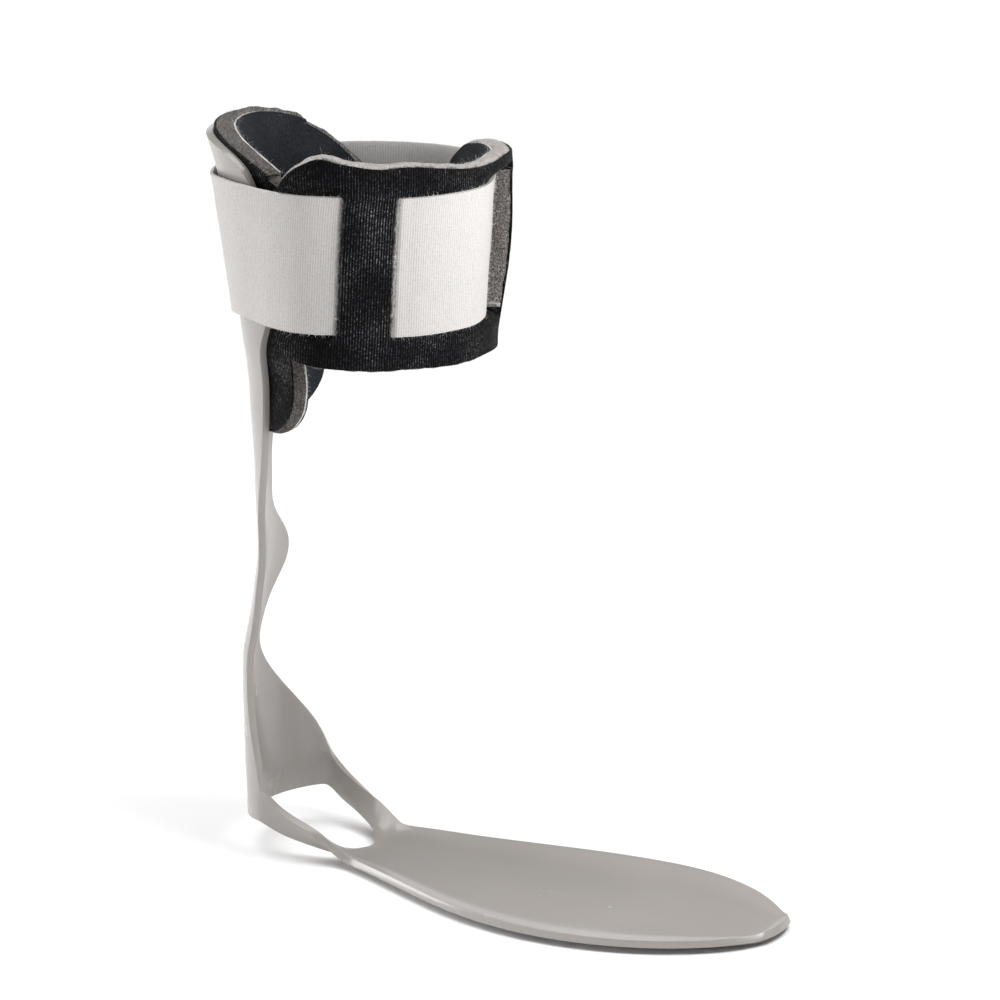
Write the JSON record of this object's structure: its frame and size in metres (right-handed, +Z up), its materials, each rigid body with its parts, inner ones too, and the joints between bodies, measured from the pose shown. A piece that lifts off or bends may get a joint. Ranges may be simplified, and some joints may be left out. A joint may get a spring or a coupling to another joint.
{
  "type": "ankle foot orthosis",
  "caption": "Moulded leaf-spring splint with a full-length foot plate, open heel, padded calf cuff, slotted shin pad and wrap-round hook-and-loop strap.",
  "frame": {"origin": "underside of the foot plate, half way between heel and toe, on the foot's long axis", "axes": "+Z up, +X towards the toes, +Y towards the medial (big toe) side"},
  "size_m": [0.2723, 0.1348, 0.3278],
  "materials": {
    "moulded_polypropylene": "glossy, slightly translucent",
    "black_loop_fabric": "brushed ribbed knit",
    "grey_foam": "open-cell foam, cut",
    "white_scrim": "matt",
    "black_lining": "smooth knit",
    "strap_webbing": "fine brushed weave",
    "hook_tape": "moulded hooks",
    "nickel_plate": "satin"
  },
  "bodies": {
    "foot": {"foot_section": "moulded_polypropylene", "leaf_spring": "moulded_polypropylene"},
    "calf": {"calf_cuff": "moulded_polypropylene", "calf_pad_outer_fabric": "black_loop_fabric", "calf_pad_foam": "grey_foam", "calf_pad_scrim": "white_scrim", "calf_pad_lining": "black_lining", "pad_hook_patch_lateral": "hook_tape", "pad_hook_patch_rear": "hook_tape", "pad_hook_patch_medial": "hook_tape", "strap_anchor": "strap_webbing", "closure_hook_patch": "hook_tape", "rivet_washer_lower": "nickel_plate", "strap_rivet_lower": "nickel_plate", "rivet_washer_upper": "nickel_plate", "strap_rivet_upper": "nickel_plate"},
    "front_pad": {"front_pad_outer_fabric": "black_loop_fabric", "front_pad_foam": "grey_foam", "front_pad_scrim": "white_scrim", "front_pad_lining": "black_lining", "strap_front": "strap_webbing"},
    "strap_tail": {"strap_tail": "strap_webbing"}
  },
  "joints": [
    {"name": "ankle_flex", "type": "hinge", "parent": "foot", "child": "calf", "pos_m": [-0.12005, -0.00766, 0.15], "axis": [-0.342, 0.9397, 0], "range_deg": [-10, 12], "stiffness_Nm_per_rad": 25, "deforming": ["leaf_spring"]},
    {"name": "front_pad_swing", "type": "hinge", "parent": "calf", "child": "front_pad", "pos_m": [-0.07391, 0.06907, 0.2765], "axis": [0.12, 0.0883, 0.9888], "range_deg": [0, 50]},
    {"name": "strap_tail_peel", "type": "hinge", "parent": "front_pad", "child": "strap_tail", "pos_m": [-0.05195, -0.05386, 0.2785], "axis": [0.1219, -0.0657, 0.9904], "range_deg": [0, 100]}
  ],
  "couplings": [
    {"joint": "strap_tail_peel", "follows": "front_pad_swing", "ratio": 2}
  ]
}
